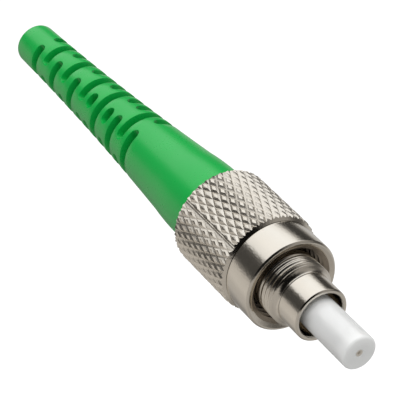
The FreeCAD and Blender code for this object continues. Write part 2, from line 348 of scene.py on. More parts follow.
def combine(piece, other, operation):
    """Unites, cuts or intersects the piece with another, which is used up."""
    apply_modifier(piece, "BOOLEAN", operation=operation, object=other, solver="EXACT")
    bpy.data.objects.remove(other)
    only(piece)


def wrap(piece, radius, extent, start_angle):
    """Wraps a flat piece round the axis. Its y runs round, against the angle, and z outwards."""
    only(piece)
    piece.rotation_euler.x = math.pi / 2
    settle()
    apply_modifier(piece, "SIMPLE_DEFORM", deform_method="BEND", deform_axis="X",
                   angle=extent / radius)
    piece.location.y = -radius
    settle()
    piece.rotation_euler.x = start_angle - math.pi
    settle()
    edit()
    tidy_surface()


def finish_piece(piece, materials, body, replaced, smooth=32.0):
    """Brings the piece to metres, shades it, and gives it its finishes and its body."""
    only(piece)
    piece.scale = (1 / MM, 1 / MM, 1 / MM)
    settle()
    bpy.ops.object.shade_smooth_by_angle(angle=math.radians(smooth))
    for material in materials:
        piece.data.materials.append(material)
    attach(piece, body)
    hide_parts(replaced)
    piece.select_set(False)


# ---- materials

def add_node(tree, kind, inputs=None, **settings):
    """A new node with its settings, its input values and its incoming links."""
    made = tree.nodes.new(kind)
    for key, value in settings.items():
        setattr(made, key, value)
    for key, value in (inputs or {}).items():
        if isinstance(value, bpy.types.NodeSocket):
            tree.links.new(value, made.inputs[key])
        else:
            made.inputs[key].default_value = value
    return made


# The helpers below add to the tree of the socket or node that they are given first.

def math_node(first, operation, second=0.0):
    return add_node(first.id_data, "ShaderNodeMath", {0: first, 1: second},
                    operation=operation).outputs[0]


def noise(vector, scale, detail=2.0):
    return add_node(vector.id_data, "ShaderNodeTexNoise", {
        "Vector": vector, "Scale": scale, "Detail": detail}).outputs["Fac"]


def spread(value, low, high):
    """A 0 to 1 value spread over the range from low to high."""
    return add_node(value.id_data, "ShaderNodeMapRange", {
        "Value": value, "To Min": low, "To Max": high}).outputs["Result"]


def colour_mix(value, first, second):
    """A mix of two colours, each written out or taken from a node."""
    parts = [part if isinstance(part, bpy.types.NodeSocket) else (*part, 1)
             for part in (first, second)]
    return add_node(value.id_data, "ShaderNodeMix", {0: value, 6: parts[0], 7: parts[1]},
                    data_type="RGBA").outputs[2]


def plug_in(value, shader, name):
    value.id_data.links.new(value, shader.inputs[name])


def add_bump(height, shader, depth, strength=1.0):
    bump = add_node(height.id_data, "ShaderNodeBump", {
        "Height": height, "Distance": depth, "Strength": strength})
    plug_in(bump.outputs["Normal"], shader, "Normal")


def new_material(name):
    """A new material and its tree."""
    material = bpy.data.materials.new(name)
    material.use_nodes = True
    return material, material.node_tree


def start_material(name, **constants):
    """A material, its shader with these constants, and its object coordinates."""
    material, tree = new_material(name)
    shader = tree.nodes["Principled BSDF"]
    for key, value in constants.items():
        shader.inputs[key.replace("_", " ")].default_value = value
    return material, shader, add_node(tree, "ShaderNodeTexCoord").outputs["Object"]


def darker(tint, part):
    return tuple(channel * part for channel in tint)


def turned_marks(place, scale):
    """A value that changes only along the axis and outwards from it, as a lathe's marks do."""
    parts = add_node(place.id_data, "ShaderNodeSeparateXYZ", {"Vector": place}).outputs
    squares = math_node(math_node(parts["Y"], "POWER", 2.0), "ADD",
                        math_node(parts["Z"], "POWER", 2.0))
    ring = add_node(place.id_data, "ShaderNodeCombineXYZ", {
        "X": parts["X"], "Y": math_node(squares, "SQRT")})
    return noise(ring.outputs["Vector"], scale, 3.0)


def turned_metal(name, bright, dull, roughness, grain_depth=0.00001):
    """Plated metal with faint turning marks, a fine grain and duller patches."""
    material, shader, place = start_material(name, Metallic=1.0)
    marks, grain = turned_marks(place, 9000.0), noise(place, 5200.0, 3.0)
    plug_in(colour_mix(noise(place, 420.0, 3.0), bright, dull), shader, "Base Color")
    plug_in(math_node(spread(grain, -0.08, 0.1), "ADD",
                      spread(marks, roughness - 0.03, roughness + 0.05)), shader, "Roughness")
    add_bump(math_node(grain, "ADD", spread(marks, 0.0, 0.4)), shader, grain_depth)
    return material


def moulded_green(boot):
    """The boot's skin: satin, finely grained and a little uneven in colour."""
    material, shader, place = start_material("moulded_green", Specular_IOR_Level=0.6)
    patches, grain = noise(place, 260.0, 3.0), noise(place, 5200.0)
    plug_in(colour_mix(patches, boot.green, boot.deep_green), shader, "Base Color")
    rough = spread(patches, boot.roughness - 0.03, boot.roughness + 0.03)
    plug_in(math_node(spread(grain, -0.05, 0.05), "ADD", rough), shader, "Roughness")
    add_bump(grain, shader, 0.000006, 0.6)
    return material


def clouded_plastic(settings):
    """The cap's soft white plastic, which lets light into its wall."""
    material, shader, place = start_material(
        "clouded_plastic", Subsurface_Weight=0.8, Subsurface_Radius=(1.0, 1.0, 1.0),
        Subsurface_Scale=0.0012, IOR=1.5, Specular_IOR_Level=1.0)
    cloud, white = noise(place, 700.0), settings.cap_white
    plug_in(colour_mix(cloud, white, darker(white, 0.96)), shader, "Base Color")
    plug_in(spread(cloud, 0.13, 0.2), shader, "Roughness")
    add_bump(noise(place, 3000.0), shader, 0.000003, 0.5)
    return material


def polished_ceramic(settings):
    """The ferrule's zirconia, ground and polished."""
    material, shader, place = start_material(
        "polished_ceramic", IOR=2.1, Subsurface_Weight=0.2, Subsurface_Scale=0.0004)
    cream = settings.zirconia
    plug_in(colour_mix(noise(place, 900.0), cream, darker(cream, 0.97)), shader, "Base Color")
    plug_in(spread(turned_marks(place, 14000.0), 0.10, 0.18), shader, "Roughness")
    return material


def plain_plastic(name, pale, shade):
    """Matte moulded plastic for the guide tube and the cap's gate mark."""
    material, shader, place = start_material(name)
    cloud = noise(place, 900.0)
    plug_in(colour_mix(cloud, pale, shade), shader, "Base Color")
    plug_in(spread(cloud, 0.5, 0.65), shader, "Roughness")
    add_bump(cloud, shader, 0.00001, 0.3)
    return material


def shared(name, make, *values, **options):
    """The material of that name, made once."""
    return bpy.data.materials.get(name) or make(name, *values, **options)


def nickel(metal):
    return shared("nickel_plate", turned_metal, metal.nickel, metal.nickel_shade,
                  metal.roughness)


# ---- boot

# The bridges left in each row, in degrees from the mould's plane, for each kind of row.
BRIDGE_SPREAD = 34.0
BRIDGES = {
    "A": (BRIDGE_SPREAD, BRIDGE_SPREAD - 180),
    "B": (-BRIDGE_SPREAD, 180 - BRIDGE_SPREAD),
    "S": (-BRIDGE_SPREAD, BRIDGE_SPREAD),
    "L": (180 - BRIDGE_SPREAD, BRIDGE_SPREAD - 180),
}
SLOT_ROWS = "BABABASLSBAB"      # from the tail
SLOT_INSET = 3.88               # from the tail to the middle of the first row
TAIL_PITCH, FRONT_PITCH, PITCH_CHANGE = 1.96, 1.66, 5
BRIDGE_HALF = 16.0              # half of what a bridge spans at its narrowest
BRIDGE_FOOT = 28.0              # half of what it spans where it meets the ribs
SEAM = 2.0                      # degrees from the mould's plane to the flat wall's middle
BOOT_COLUMN = 4.0               # degrees of each column of the boot's faces
SLOT_STEPS = (0.0, 22.5, 45.0, 67.5, 90.0)   # places on a slot's round end
MIDDLE_REACH = 15.0             # from the tail to the flare's middle radius
FLARE_GAP = 10.4                # from the boot's front to where the flare meets the shoulder
SHOULDER_LENGTH = 4.12
TAIL_RIBS = (1.4, 2.7)          # rings of corners between the tail and the first row
END_ROUND = 0.25                # rounding of the two ends
SOCKET_RADIUS, SOCKET_BACK = 3.35, -13.42        # where the rear body's flange sits
SOCKET_CHAMFER, CABLE_CHAMFER = 0.3, 0.12        # at the bore's two mouths
TUNNEL_RADIUS, TUNNEL_BACK = 2.67, -20.82        # round the crimp sleeve's wide part
GRIP_RADIUS, GRIP_FRONT, GRIP_BACK = 1.55, -22.02, -26.02    # round its narrow part
CABLE_GRIP = 3.08               # length of the narrow bore at the tail


def boot_flare(boot):
    """The radius of the long flare at any x, on an arc through three places of the boot."""
    (ax, ar), (bx, br), (cx, cr) = (
        (BOOT_TAIL, mm(boot.tail_radius)), (BOOT_TAIL + MIDDLE_REACH, mm(boot.middle_radius)),
        (BOOT_FRONT - FLARE_GAP, mm(boot.flare_radius)))
    d = 2 * (ax * (br - cr) + bx * (cr - ar) + cx * (ar - br))
    a2, b2, c2 = ax * ax + ar * ar, bx * bx + br * br, cx * cx + cr * cr
    x = (a2 * (br - cr) + b2 * (cr - ar) + c2 * (ar - br)) / d
    r = (a2 * (cx - bx) + b2 * (ax - cx) + c2 * (bx - ax)) / d
    flare = math.hypot(ax - x, ar - r)
    return lambda place: r - math.sqrt(flare ** 2 - (place - x) ** 2)


def slot_places():
    """The x of each row of slots, from the tail."""
    places = [BOOT_TAIL + SLOT_INSET]
    for number in range(len(SLOT_ROWS) - 1):
        places.append(places[-1] + (TAIL_PITCH if number < PITCH_CHANGE else FRONT_PITCH))
    return places


def slot_rings(boot):
    """The x of each ring of corners along the slotted part, from the tail."""
    half = mm(boot.slot_width) / 2
    steps = [math.sin(math.radians(step)) * half for step in SLOT_STEPS]
    rings = []
    for place in slot_places():
        rings += [place - step for step in reversed(steps)] + [place + step for step in steps[1:]]
    return rings


def boot_outline(boot, rings, flare_at):
    """Corners of the boot's wall: forward along its outside, then back through its bore."""
    tail, front, flare_end = BOOT_TAIL, BOOT_FRONT, BOOT_FRONT - FLARE_GAP
    radius, bore, cable = mm(boot.front_radius), mm(boot.bore_radius), mm(boot.cable_radius)
    steps = 8
    run = (flare_end - rings[-1]) / steps
    outside = [tail + rib for rib in TAIL_RIBS] + rings
    outside += [rings[-1] + run * step for step in range(1, steps)]
    corners = [(tail + END_ROUND, flare_at(tail))] + [(x, flare_at(x)) for x in outside]
    rise = radius - flare_at(flare_end)
    for step in range(6):
        t = step / 6
        corners.append((flare_end + SHOULDER_LENGTH * t,
                        flare_at(flare_end) + rise * (2 * t - t * t)))
    corners += [(flare_end + SHOULDER_LENGTH, radius), (front - END_ROUND, radius)]
    corners += arc(front - END_ROUND, radius - END_ROUND, END_ROUND, (30, 60, 90))
    corners += [
        (front, SOCKET_RADIUS + SOCKET_CHAMFER), (front - SOCKET_CHAMFER, SOCKET_RADIUS),
        (SOCKET_BACK, SOCKET_RADIUS), (SOCKET_BACK, TUNNEL_RADIUS),
        (TUNNEL_BACK, TUNNEL_RADIUS), (GRIP_FRONT, GRIP_RADIUS), (GRIP_BACK, GRIP_RADIUS),
        (GRIP_BACK, bore)]
    corners += [(x, bore) for x in reversed(rings)]
    corners += [(tail + CABLE_GRIP, bore), (tail + CABLE_GRIP, cable),
                (tail + CABLE_CHAMFER, cable), (tail, cable + CABLE_CHAMFER)]
    corners += arc(tail + END_ROUND, flare_at(tail) - END_ROUND, END_ROUND, (-90, -60, -30))
    return corners


def open_slots(wall, boot, per_degree):
    """Takes the slots out of the flat wall, and narrows each bridge between them to a waist."""
    half = mm(boot.slot_width) / 2
    reach = BRIDGE_FOOT * per_degree + MERGE
    gaps = [(place, [(180 - (angle - SEAM + 180) % 360) * per_degree for angle in BRIDGES[kind]])
            for place, kind in zip(slot_places(), SLOT_ROWS)]

    def in_slot(face):
        spot = middle(face)
        for place, bridges in gaps:
            if abs(spot.x - place) < half:
                return (min(abs(spot.y - y) for y in bridges) > reach
                        and len({round(v.co.x, 4) for v in face.verts}) == 2)
        return False

    pick(wall, "faces", in_slot)
    bpy.ops.mesh.delete(type="FACE")
    for place, bridges in gaps:
        for angle in SLOT_STEPS[:-1]:
            t = math.sin(math.radians(angle)) * half
            waist = BRIDGE_HALF + (BRIDGE_FOOT - BRIDGE_HALF) * (
                1 - math.cos(math.radians(angle)))
            for y in bridges:
                pick(wall, "verts", lambda v: abs(v.co.y - y) < reach
                     and abs(abs(v.co.x - place) - t) < MERGE)
                bpy.ops.transform.resize(value=(1, waist / BRIDGE_FOOT, 1),
                                         center_override=(place, y, 0))


def wall_slots(piece, boot):
    """Joins the outer and the inner rim of every slot."""
    half = mm(boot.slot_width) / 2
    for place, kind in zip(slot_places(), SLOT_ROWS):
        first, second = sorted(BRIDGES[kind])
        for start, end in ((first, second), (second, first + 360)):
            centre = math.radians((start + end) / 2) + boot.mould_angle
            out = Vector((0, math.cos(centre), math.sin(centre)))
            limit = math.cos(math.radians((end - start) / 2 - BRIDGE_HALF + 3))

            def on_rim(edge):
                if not edge.is_boundary or abs(middle(edge).x - place) > half + MERGE:
                    return False
                return middle(edge).dot(out) / reach_of(edge) > limit

            if not pick(piece, "edges", on_rim):
                raise RuntimeError("a slot of the boot has no rim")
            bpy.ops.mesh.bridge_edge_loops()
    tidy_surface()


class CONNECTOR_OT_boot(bpy.types.Operator):
    """Moulds the slotted boot"""
    bl_idname = "connector.boot"
    bl_label = "Boot"
    bl_options = {"REGISTER", "UNDO"}

    def execute(self, context):
        boot = context.scene.connector_boot
        flare_at, rings = boot_flare(boot), slot_rings(boot)
        corners = boot_outline(boot, rings, flare_at)

        # the wall is made flat, with its slots, and then wrapped round the axis
        flat = mm(boot.front_radius)
        columns = round(360 / BOOT_COLUMN)
        width = math.tau * flat
        piece = draw_outline("slotted_boot", [(x, r - flat) for x, r in corners])
        select_whole()
        bpy.ops.transform.translate(value=(0, -width / 2, 0))
        bpy.ops.mesh.extrude_repeat(steps=columns, offset=(0, width / columns, 0))
        open_slots(piece, boot, width / 360)
        wrap(piece, flat, width, boot.mould_angle + math.radians(SEAM))
        wall_slots(piece, boot)

        lean = Vector((0, math.cos(boot.lean_angle), math.sin(boot.lean_angle)))
        pick(piece, "verts", lambda v: v.co.x < BOOT_TAIL + 0.3)
        bpy.ops.transform.translate(
            value=lean * mm(boot.lean), use_proportional_edit=True,
            proportional_edit_falloff="LINEAR", proportional_size=mm(boot.lean_length))
        wall_middle = (flare_at(BOOT_TAIL) + mm(boot.bore_radius)) / 2
        pick(piece, "edges", lambda e: rings[0] - MERGE < middle(e).x < rings[-1] + MERGE
             and reach_of(e) > wall_middle and e.is_manifold
             and e.calc_face_angle() > math.radians(50))
        bpy.ops.mesh.bevel(offset=mm(boot.slot_edge), segments=2, affect="EDGES",
                           clamp_overlap=True)
        tidy_surface()
        finish_piece(piece, (moulded_green(boot),), "plug_body", "boot", 38.0)
        return {"FINISHED"}


# ---- coupling nut

TAIL_BORE = 4.2                 # radius of the nut's bore over the boot
LIP_RADIUS, GROOVE_RADIUS = 3.32, 3.85     # the bore at the snap ring, and the ring's groove
BACK_LIP, FRONT_LIP = 0.36, 0.6            # how long the bore is behind and before the groove
RING_PLAY = 0.06                # between the snap ring and each wall of its groove
MOUTH_WIDTH, MOUTH_DEPTH = 0.4, 0.25       # the cone at the nut's mouth
FACE_EDGE = 0.16                # chamfer round the nut's face
KNURL_START = 125.4             # degrees round the axis to the first diamonds
KNURL_EDGE = 0.08               # chamfer at the knurl's back
KNURL_GAP = 0.24                # from the cone's foot back to the knurl's first full row
NUT_STEPS = 120                 # faces round the nut's turned parts
THREAD_STEPS = 72               # and along each turn of its thread
RIDGE_FOOT, RIDGE_TOP = 0.45, 0.125        # half widths of the thread's ridge, in pitches
RIDGE_SINK = 0.04               # how deep the ridge's foot lies in the wall
THREAD_START = 1.1              # from the snap ring's groove to the thread's first ridge
OVER = 0.1                      # how far a cutter stands past what it cuts


def knurled_band(nut, front, back):
    """A closed band with a diamond knurl, longer than the nut's and not yet trimmed."""
    radius, pitch = mm(nut.knurl_radius), mm(nut.knurl_pitch)
    cell = math.tau * radius / nut.knurl_count
    depth, flank = mm(nut.knurl_depth), mm(nut.knurl_flank)
    clear()
    bpy.ops.mesh.primitive_circle_add(vertices=4, radius=1, fill_type="NGON", location=CENTRE)
    band = named("knurled_nut")
    edit()
    select_whole()
    bpy.ops.transform.resize(value=(pitch / 2, cell / 2, 1))
    bpy.ops.mesh.select_mode(type="FACE")
    select_whole()
    # floor, flank and rounded top: the width of each, and its part of the depth
    for width, part in ((mm(nut.knurl_floor), 0.12), (flank, 0.75), (flank * 0.7, 0.13)):
        bpy.ops.mesh.inset(thickness=width, depth=depth * part)
    leave_edit()
    rows = math.ceil((front - back) / pitch) + 2
    for count, offset in ((rows, (pitch, 0, 0)), (nut.knurl_count, (0, cell, 0))):
        apply_modifier(band, "ARRAY", count=count, use_relative_offset=False,
                       use_constant_offset=True, constant_offset_displace=offset)
    edit()
    select_whole()
    bpy.ops.mesh.duplicate_move(TRANSFORM_OT_translate={"value": (pitch / 2, cell / 2, 0)})
    select_whole()
    length_over = (rows - 0.5) * pitch
    bpy.ops.transform.translate(value=((front + back) / 2 - length_over / 2 + pitch / 4,
                                       -(nut.knurl_count - 0.5) * cell / 2, -depth))
    bpy.ops.mesh.remove_doubles(threshold=MERGE)
    wrap(band, radius, (nut.knurl_count + 0.5) * cell, math.radians(KNURL_START))
    select_whole()
    bpy.ops.mesh.extrude_region_move(TRANSFORM_OT_translate={"value": (0, 0, 0)})
    inner = mm(nut.thread_radius) / radius
    bpy.ops.transform.resize(value=(1, inner, inner), center_override=CENTRE)
    tidy_surface()
    return band


def thread_ridge(nut):
    """The nut's inside thread, a ridge wound forward from the snap ring's groove to the mouth."""
    root, crest, pitch = mm(nut.thread_radius), mm(nut.thread_crest), mm(nut.thread_pitch)
    front, groove_front = NUT_FRONT + OVER, RING_FRONT + RING_PLAY
    back = groove_front + THREAD_START
    ridge = draw_outline("thread", [
        (back - pitch * RIDGE_FOOT, root + RIDGE_SINK), (back - pitch * RIDGE_TOP, crest),
        (back + pitch * RIDGE_TOP, crest), (back + pitch * RIDGE_FOOT, root + RIDGE_SINK)])
    turns = (front - back) / pitch
    steps = round(THREAD_STEPS * turns)
    apply_modifier(ridge, "SCREW", axis="X", screw_offset=front - back,
                   angle=math.tau * turns, steps=steps, render_steps=steps,
                   use_merge_vertices=False)
    edit()
    tidy_surface()
    pick(ridge, "edges", lambda e: e.is_boundary)
    bpy.ops.mesh.edge_face_add()
    tidy_surface()
    # the crests rise from the mouth along a cone
    mouth = NUT_FRONT - OVER
    lead_in = spin_piece("lead_in", [
        (mouth, root + OVER), (mouth - root + crest, crest - OVER),
        (groove_front, crest - OVER), (groove_front, root + OVER)], NUT_STEPS)
    combine(ridge, lead_in, "INTERSECT")
    return ridge


def mark_cutter(nut, front, back):
    """A bar along the knurl that cuts its straight groove: steep wall, ridged floor, long slope."""
    radius, depth = mm(nut.knurl_radius), mm(nut.mark_depth)
    half = mm(nut.mark_width) / 2
    # across the groove in half widths, and down in depths
    section = [(-half, radius + OVER)] + [
        (half * across, radius - depth * down) for across, down in (
            (-1, 0.1), (-0.8, 1), (-0.5, 1), (-0.35, 0.8), (-0.15, 1), (0.1, 1), (1, 0.6))]
    bar = draw_outline("mark", section + [(half * 1.2, radius + OVER)])
    select_whole()
    bpy.ops.mesh.edge_face_add()
    bpy.ops.mesh.extrude_region_move(
        TRANSFORM_OT_translate={"value": (0, front - back + 0.4, 0)})
    select_whole()
    bpy.ops.transform.translate(value=(0, back - 0.2, 0))
    tidy_surface()
    leave_edit()
    # the outline lay across x and z; its length now turns to x, and its depth to y
    bar.rotation_euler = (-math.pi / 2, -math.pi / 2, 0)
    settle()
    bar.rotation_euler.x = nut.mark_angle
    settle()
    return bar


def nut_core(nut, collar_end):
    """The nut under its knurl: the collar, the bores and the snap ring's groove."""
    groove_front, groove_back = RING_FRONT + RING_PLAY, RING_BACK - RING_PLAY
    front, root = NUT_FRONT, mm(nut.thread_radius)
    collar, undercut = mm(nut.collar_radius), mm(nut.undercut_radius)
    corners = [
        (front, root + MOUTH_WIDTH), (front, collar - FACE_EDGE), (front - FACE_EDGE, collar),
        (collar_end, collar), (collar_end, undercut), (groove_back - BACK_LIP, undercut),
        (groove_back - BACK_LIP, LIP_RADIUS), (groove_back, LIP_RADIUS),
        (groove_back, GROOVE_RADIUS), (groove_front, GROOVE_RADIUS),
        (groove_front, LIP_RADIUS), (groove_front + FRONT_LIP, LIP_RADIUS),
        (groove_front + FRONT_LIP, root), (front - MOUTH_DEPTH, root)]
    return spin_piece("core", rounded(corners, {0: 0.03, 1: 0.04, 2: 0.04, 3: 0.04}), NUT_STEPS)


class CONNECTOR_OT_nut(bpy.types.Operator):
    """Turns, knurls and threads the coupling nut"""
    bl_idname = "connector.nut"
    bl_label = "Coupling nut"
    bl_options = {"REGISTER", "UNDO"}

    def execute(self, context):
        nut, metal = context.scene.connector_nut, context.scene.connector_metal
        back, radius = NUT_BACK, mm(nut.knurl_radius)
        collar_end = NUT_FRONT - mm(nut.collar_length)
        cone_front = collar_end - mm(nut.undercut_width)
        cone_foot = mm(nut.collar_radius) - 0.03
        knurl_front = cone_front - KNURL_GAP
        band = knurled_band(nut, knurl_front, back)
        # the knurl's front is turned to a cone that starts close behind the collar
        envelope = spin_piece("envelope", [
            (cone_front, TAIL_BORE), (cone_front, cone_foot),
            (cone_front - (radius - cone_foot) - OVER, radius + OVER),
            (back + KNURL_EDGE + OVER, radius + OVER), (back, radius - KNURL_EDGE),
            (back, TAIL_BORE)], NUT_STEPS)
        combine(band, envelope, "INTERSECT")
        combine(band, nut_core(nut, collar_end), "UNION")
        combine(band, mark_cutter(nut, knurl_front, back), "DIFFERENCE")
        combine(band, thread_ridge(nut), "UNION")
        edit()
        tidy_surface()
        knurl_floor = radius - mm(nut.knurl_depth) * 1.3
        paint(band, 1, lambda f: middle(f).x < cone_front and reach_of(f) > knurl_floor
              and f.normal.x < 0.7)
        # Painted shade: the bore, the thread and the groove before the knurl take the darker inside
        # colour.
        paint(band, 2, lambda f: reach_of(f) < mm(nut.thread_radius) + 0.02
              or (cone_front - MERGE < middle(f).x < collar_end + MERGE
                  and reach_of(f) < cone_foot + MERGE))
        inside = shared("nut_inside", turned_metal, metal.inside,
                        darker(metal.inside, 0.8), 0.3)
        knurled = shared("knurled_nickel", turned_metal, metal.nickel, metal.nickel_shade, 0.3)
        finish_piece(band, (nickel(metal), knurled, inside), "nut",
                     "coupling_nut", 24.0)
        return {"FINISHED"}


# ---- nose

NOSE_LENGTH = 2.7               # behind the nose's face, which lies at x = 0
NOSE_EDGE, BORE_EDGE, BORE_DEPTH = 0.13, 0.1, 0.14     # its chamfers, outside and inside
SEAT_DEPTH = 0.22               # of the key ring's seat under the nose's skin
COLLAR_FRONT, COLLAR_BACK = -3.7, -6.35
COLLAR_GROOVES = 5
NECK_FRONT, NECK_BACK = -4.6, -5.5         # the wall that stops the ferrule's flange
NECK_RADIUS, CHAMBER_RADIUS = 1.45, 2.25   # that wall's hole, and the spring's chamber
BARREL_EDGE = 0.08              # chamfer at the barrel's back
# The key ring's flare from its face: how far back, and how far out from the nose's skin.
FLARE = ((0.04, 0.05), (0.1, 0.05), (0.14, 0.02), (0.24, 0.07), (0.36, 0.19), (0.45, 0.32))
FLARE_LENGTH = 0.5
KEY_EDGE = 0.16                 # chamfer at the key's front


def ripples(start, count, crest, depth, pitch, steps=8):
    """Corners of rounded ring grooves that follow each other backwards from the start."""
    return [(start - pitch * step / steps,
             crest - depth * (1 - math.cos(math.tau * step / steps)) / 2)
            for step in range(count * steps + 1)]


class CONNECTOR_OT_nose(bpy.types.Operator):
    """Turns the plug frame with its ringed collar, and its key ring"""
    bl_idname = "connector.nose"
    bl_label = "Plug frame and key ring"
    bl_options = {"REGISTER", "UNDO"}

    def execute(self, context):
        nose, metal = context.scene.connector_nose, context.scene.connector_metal
        radius, bore = mm(nose.nose_radius), mm(nose.nose_bore)
        collar, barrel = mm(nose.collar_radius), mm(nose.barrel_radius)
        pitch, depth = mm(nose.ring_pitch), mm(nose.ring_depth)
        seat = radius - SEAT_DEPTH
        corners = [
            (NECK_FRONT, bore), (-BORE_DEPTH, bore), (0, bore + BORE_EDGE),
            (0, radius - NOSE_EDGE),
            (-NOSE_EDGE, radius), (-NOSE_LENGTH, radius), (-NOSE_LENGTH, seat),
            (COLLAR_FRONT, seat), (COLLAR_FRONT, collar - 0.05)]
        corners += ripples(COLLAR_FRONT - 0.06, COLLAR_GROOVES, collar, depth, pitch)
        corners += [
            (COLLAR_BACK, collar - 0.06), (COLLAR_BACK, barrel),
            (BARREL_BACK + BARREL_EDGE, barrel), (BARREL_BACK, barrel - BARREL_EDGE),
            (BARREL_BACK, CHAMBER_RADIUS), (NECK_BACK, CHAMBER_RADIUS),
            (NECK_BACK, NECK_RADIUS), (NECK_FRONT, NECK_RADIUS)]
        face_edges = {corner: 0.04 for corner in (1, 2, 3, 4)}
        piece = spin_piece("nose_frame", rounded(corners, face_edges, 4))
        finish_piece(piece, (nickel(metal),), "plug_body", "plug_frame", 30.0)

        clearance = 0.02
        inner, front, back = seat + clearance, -NOSE_LENGTH - clearance, KEY_RING_BACK
        groove_front = front - FLARE_LENGTH - 0.06
        flare = [(front - along, radius + out) for along, out in FLARE]
        flare.append((front - FLARE_LENGTH, collar - 0.06))
        groove = ripples(groove_front, 1, collar, depth, groove_front - back - 0.03)
        ring = spin_piece("keyed_ring", [(back, inner), (back, collar - 0.04)] + groove[::-1]
                          + flare[::-1] + [(front, radius + clearance), (front, inner)])
        key_back, foot = back + 0.3, radius + clearance
        height, width = mm(nose.key_height), mm(nose.key_width)
        key = spin_piece("key", [
            (key_back, foot - 0.2), (key_back, radius + height),
            (KEY_FRONT - KEY_EDGE, radius + height), (KEY_FRONT, radius + height - KEY_EDGE),
            (KEY_FRONT, foot), (front + clearance, foot), (front - 0.1, radius - 0.1)], 180)
        # a block beside the axis keeps only the key's own width of the turned ring
        clear()
        bpy.ops.mesh.primitive_cube_add(size=1, location=CENTRE)
        block = named("key_sides")
        block.scale = (6, 4, width)
        block.location = (-2, 4.2, 0)
        settle()
        combine(key, block, "INTERSECT")
        key.rotation_euler.x = nose.key_angle
        settle()
        apply_modifier(key, "BEVEL", width=0.05, segments=2, limit_method="ANGLE",
                       angle_limit=math.radians(40))
        combine(ring, key, "UNION")
        edit()
        tidy_surface()
        finish_piece(ring, (nickel(metal),), "plug_body", "key_ring", 28.0)
        return {"FINISHED"}


# ---- ferrule, spring and cap

FIBRE_BORE = 0.063              # radius of the ferrule's fine bore
TIP_CHAMFER, BACK_CHAMFER = 0.5, 0.25
POLISH_ANGLE = 8.0              # degrees that the ferrule's end is ground to
# The cap's gate mark: how deep under the tip, and how far from the axis.
GATE = ((0, 0.46), (0.05, 0.4), (0.08, 0.34), (0.1, 0.18), (0.3, 0.1), (0.34, 0))
CAP_SOLID = 0.9                 # thickness of the cap's closed end


class CONNECTOR_OT_ferrule(bpy.types.Operator):
    """Grinds the ferrule and winds its spring"""
    bl_idname = "connector.ferrule"
    bl_label = "Ferrule and spring"
    bl_options = {"REGISTER", "UNDO"}

    def execute(self, context):
        settings, metal = context.scene.connector_ferrule, context.scene.connector_metal
        front, back, radius = FERRULE_FRONT, FERRULE_BACK, mm(settings.ferrule_radius)
        piece = spin_piece("ground_ferrule", rounded([
            (back, FIBRE_BORE), (back, radius - BACK_CHAMFER), (back + BACK_CHAMFER, radius),
            (front - TIP_CHAMFER, radius), (front, radius - TIP_CHAMFER), (front, FIBRE_BORE)],
            {1: 0.08, 2: 0.1, 3: 0.14}), 72)
        select_whole()
        bpy.ops.mesh.bisect(plane_co=(front, 0, 0), use_fill=True, clear_outer=True,
                            plane_no=(1, 0, math.tan(math.radians(POLISH_ANGLE))))
        finish_piece(piece, (polished_ceramic(settings),), "ferrule_core",
                     "ferrule")

        wire, coil = mm(settings.wire_radius), mm(settings.coil_radius)
        start, end = SPRING_BACK + wire, SPRING_FRONT - wire
        section = arc(start, coil, wire, [90 - 360 * part / 14 for part in range(14)])
        spring = draw_outline("wound_spring", section)
        steps = round(48 * settings.coils)
        apply_modifier(spring, "SCREW", axis="X", screw_offset=end - start,
                       angle=math.tau * settings.coils, steps=steps, render_steps=steps)
        edit()
        tidy_surface()
        for x in (start, end):
            pick(spring, "edges", lambda e: e.is_boundary and abs(middle(e).x - x) < wire * 2)
            bpy.ops.mesh.edge_face_add()
        tidy_surface()
        wire_finish = shared("spring_wire", turned_metal, metal.steel,
                             darker(metal.steel, 0.8), 0.28)
        finish_piece(spring, (wire_finish,), "plug_body", "ferrule_spring")
        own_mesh(spring)
        return {"FINISHED"}


class CONNECTOR_OT_cap(bpy.types.Operator):
    """Moulds the protective cap"""
    bl_idname = "connector.cap"
    bl_label = "Protective cap"
    bl_options = {"REGISTER", "UNDO"}

    def execute(self, context):
        settings = context.scene.connector_ferrule
        tip, mouth, top = CAP_TIP, CAP_MOUTH, CAP_TIP - CAP_SOLID
        radius, inside = mm(settings.cap_radius), mm(settings.ferrule_radius) + 0.02
        corners = [
            (top, 0), (top, inside), (mouth + 0.15, inside), (mouth, inside + 0.15),
            (mouth, radius - 0.03), (tip, radius)]
        corners += [(tip - deep, out) for deep, out in GATE]
        piece = spin_piece("moulded_cap", rounded(
            corners, {1: 0.2, 4: 0.06, 5: mm(settings.cap_round)}, 5), 72, closed=False)
        paint(piece, 1, lambda f: middle(f).x > tip - 0.4 and reach_of(f) < GATE[2][1])
        gate_mark = shared("gate_mark", plain_plastic, (0.70, 0.65, 0.57), (0.54, 0.49, 0.42))
        finish_piece(piece, (clouded_plastic(settings), gate_mark), "cap",
                     "protective_cap", 35.0)
        return {"FINISHED"}


# ---- inner pieces and stage

class CONNECTOR_OT_inner(bpy.types.Operator):
    """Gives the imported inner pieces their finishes"""
    bl_idname = "connector.inner"
    bl_label = "Inner pieces"
    bl_options = {"REGISTER", "UNDO"}

    def execute(self, context):
        metal = context.scene.connector_metal
        crimp = shared("crimp_metal", turned_metal, metal.crimp,
                       darker(metal.crimp, 0.85), 0.25)
        plate = nickel(metal)
        tube = shared("guide_plastic", plain_plastic, (0.82, 0.81, 0.78), (0.76, 0.75, 0.72))
        finishes = {"snap_ring": plate, "rear_body": plate, "crimp_sleeve": crimp,
                    "ferrule_flange": plate, "guide_tube": tube}
        for name, material in finishes.items():
            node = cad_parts[name]
            node.data.materials.clear()
            node.data.materials.append(material)
        return {"FINISHED"}


CAMERA_PLACE = (0.11695, -0.08134, 0.11518)
CAMERA_AIM = (-0.02032, -0.00016, -0.00028)
LAMP_HEIGHT = 0.5      # the lamp is as wide as it is high
FLOOR_LIFT = 0.55

